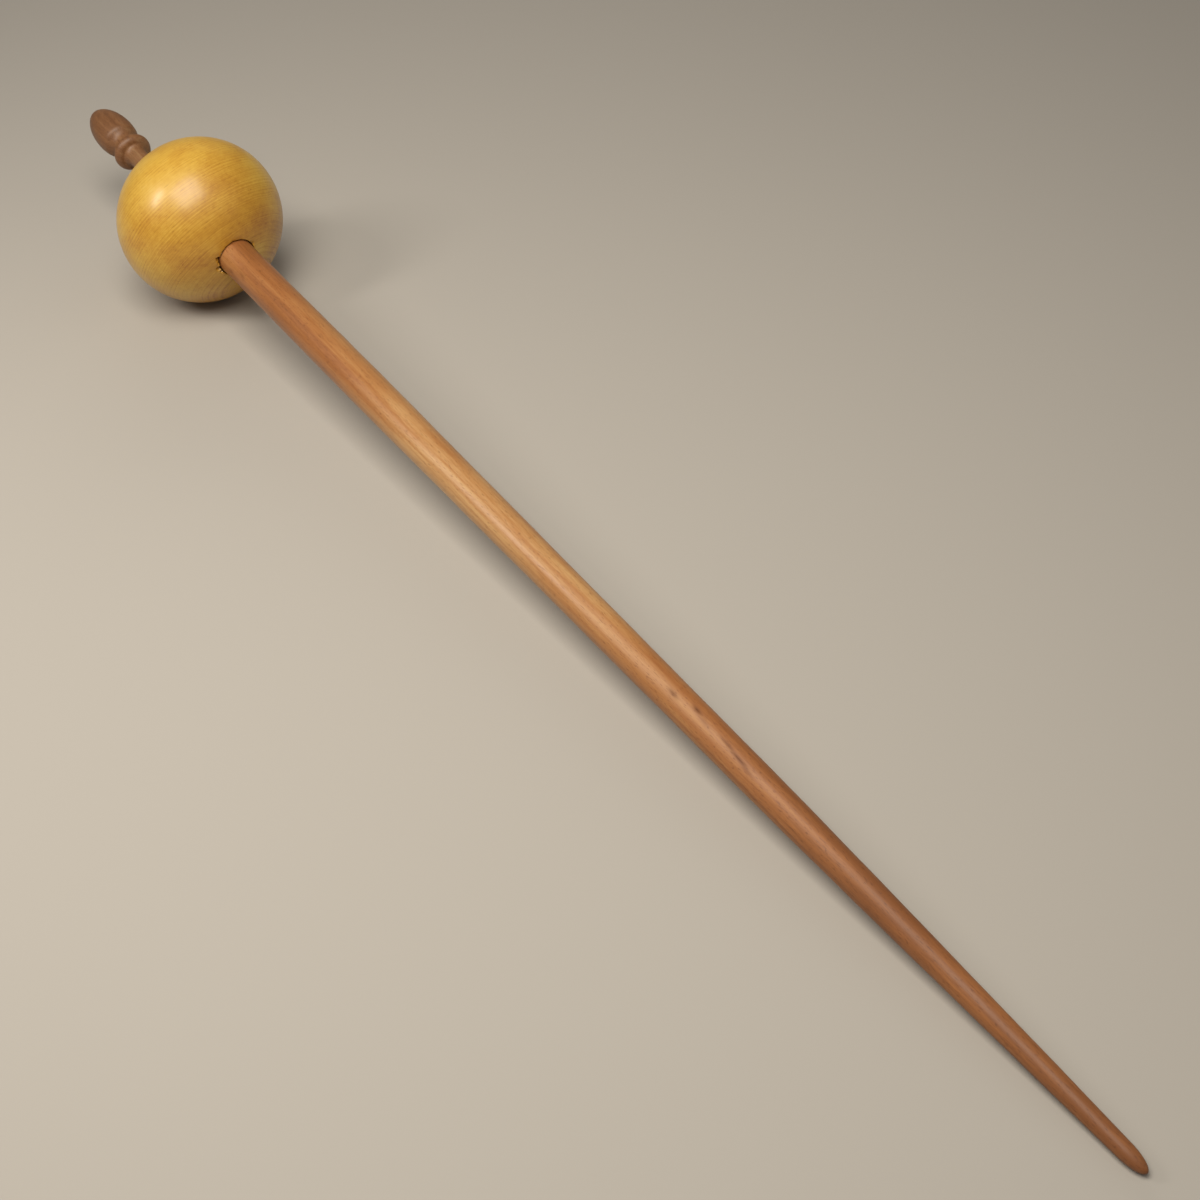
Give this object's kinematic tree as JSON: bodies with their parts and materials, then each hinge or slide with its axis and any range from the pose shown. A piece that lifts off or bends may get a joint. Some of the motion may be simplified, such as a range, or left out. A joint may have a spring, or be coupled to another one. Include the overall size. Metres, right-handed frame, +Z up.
{
  "type": "drop spindle",
  "caption": "Wooden drop spindle: a turned stick with an egg-shaped finial and a domed collar, tapering to a rounded tip, pushed through a ball-shaped whorl.",
  "frame": {"origin": "on the table, under the middle of the spindle's length, as it lies at rest on the whorl's side and the tip", "axes": "+Z up from the table; the spindle's axis lies in the XZ plane, pointing from the finial to the tip along +X and sloping 3.62 degrees down to the tip"},
  "size_m": [0.35, 0.04, 0.04],
  "materials": {
    "yellow_wood": "satin varnish over pale yellow, ring-grained wood",
    "red_brown_wood": "satin oil on fine-grained reddish-brown wood"
  },
  "bodies": {
    "whorl": {"whorl": "yellow_wood"},
    "shaft": {"shaft": "red_brown_wood"}
  },
  "joints": [
    {"name": "shaft_slide", "type": "slide", "parent": "whorl", "child": "shaft", "axis": [-0.998, 0, 0.0632], "range_m": [0, 0.32]}
  ]
}
